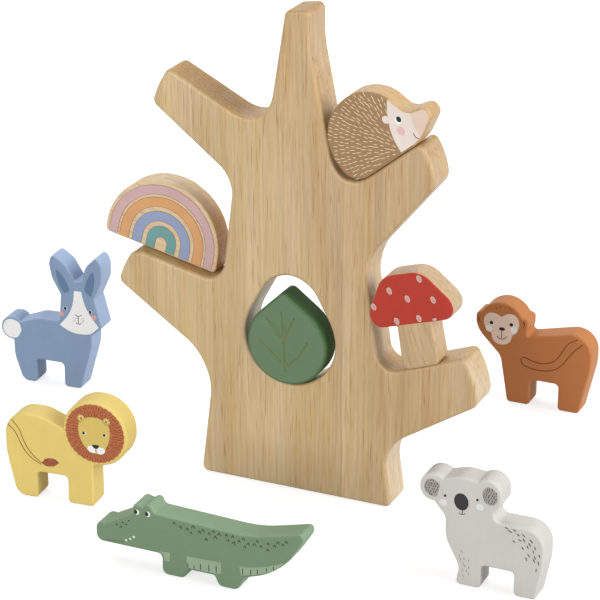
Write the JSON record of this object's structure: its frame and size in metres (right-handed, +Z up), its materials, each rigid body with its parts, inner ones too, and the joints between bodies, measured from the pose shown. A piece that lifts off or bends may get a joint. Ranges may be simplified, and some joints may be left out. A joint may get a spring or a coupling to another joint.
{
  "type": "balancing tree game",
  "caption": "Flat wooden tree with forked branches and an egg-shaped hollow, with loose printed wooden figures that rest on it or stand on the floor around it.",
  "frame": {"origin": "middle of the flat underside of the tree's foot, on the floor", "axes": "+Z up the tree, -Y out of the printed front faces, +X to the right seen from the front"},
  "size_m": [0.43, 0.3173, 0.3004],
  "materials": {
    "natural_wood": "satin clear lacquer over straight vertical grain",
    "rainbow_wood": "satin clear lacquer, with printed arches of pink, orange, blue and teal",
    "hedgehog_print": "natural wood sides, with a printed brown face side",
    "leaf_green": "matt green paint with engraved veins",
    "mushroom_red": "natural wood sides and stem, with a printed red cap",
    "bunny_blue": "matt dusty blue paint with printed details",
    "lion_yellow": "matt yellow paint with printed details",
    "crocodile_green": "matt green paint with printed details",
    "koala_grey": "matt pale grey paint with printed details",
    "monkey_brown": "matt red-brown paint with printed details"
  },
  "bodies": {
    "tree": {"tree": "natural_wood"},
    "rainbow": {"rainbow": "rainbow_wood"},
    "hedgehog": {"hedgehog": "hedgehog_print"},
    "leaf": {"leaf": "leaf_green"},
    "mushroom": {"mushroom": "mushroom_red"},
    "bunny": {"bunny": "bunny_blue"},
    "lion": {"lion": "lion_yellow"},
    "crocodile": {"crocodile": "crocodile_green"},
    "koala": {"koala": "koala_grey"},
    "monkey": {"monkey": "monkey_brown"}
  },
  "joints": [
    {"name": "rainbow_take_off", "type": "slide", "parent": "tree", "child": "rainbow", "axis": [0, -0.9397, 0.342], "range_m": [0, 0.06]},
    {"name": "hedgehog_take_off", "type": "slide", "parent": "tree", "child": "hedgehog", "axis": [0, -0.9397, 0.342], "range_m": [0, 0.06]},
    {"name": "leaf_take_out", "type": "slide", "parent": "tree", "child": "leaf", "axis": [0, -0.9397, 0.342], "range_m": [0, 0.06]},
    {"name": "mushroom_take_off", "type": "slide", "parent": "tree", "child": "mushroom", "axis": [0, -0.9397, 0.342], "range_m": [0, 0.06]},
    {"name": "bunny_pick_up", "type": "slide", "parent": "tree", "child": "bunny", "axis": [0, 0, 1], "range_m": [0, 0.1]},
    {"name": "lion_pick_up", "type": "slide", "parent": "tree", "child": "lion", "axis": [0, 0, 1], "range_m": [0, 0.08]},
    {"name": "crocodile_pick_up", "type": "slide", "parent": "tree", "child": "crocodile", "axis": [0, 0, 1], "range_m": [0, 0.08]},
    {"name": "koala_pick_up", "type": "slide", "parent": "tree", "child": "koala", "axis": [0, 0, 1], "range_m": [0, 0.08]},
    {"name": "monkey_pick_up", "type": "slide", "parent": "tree", "child": "monkey", "axis": [0, 0, 1], "range_m": [0, 0.08]}
  ]
}
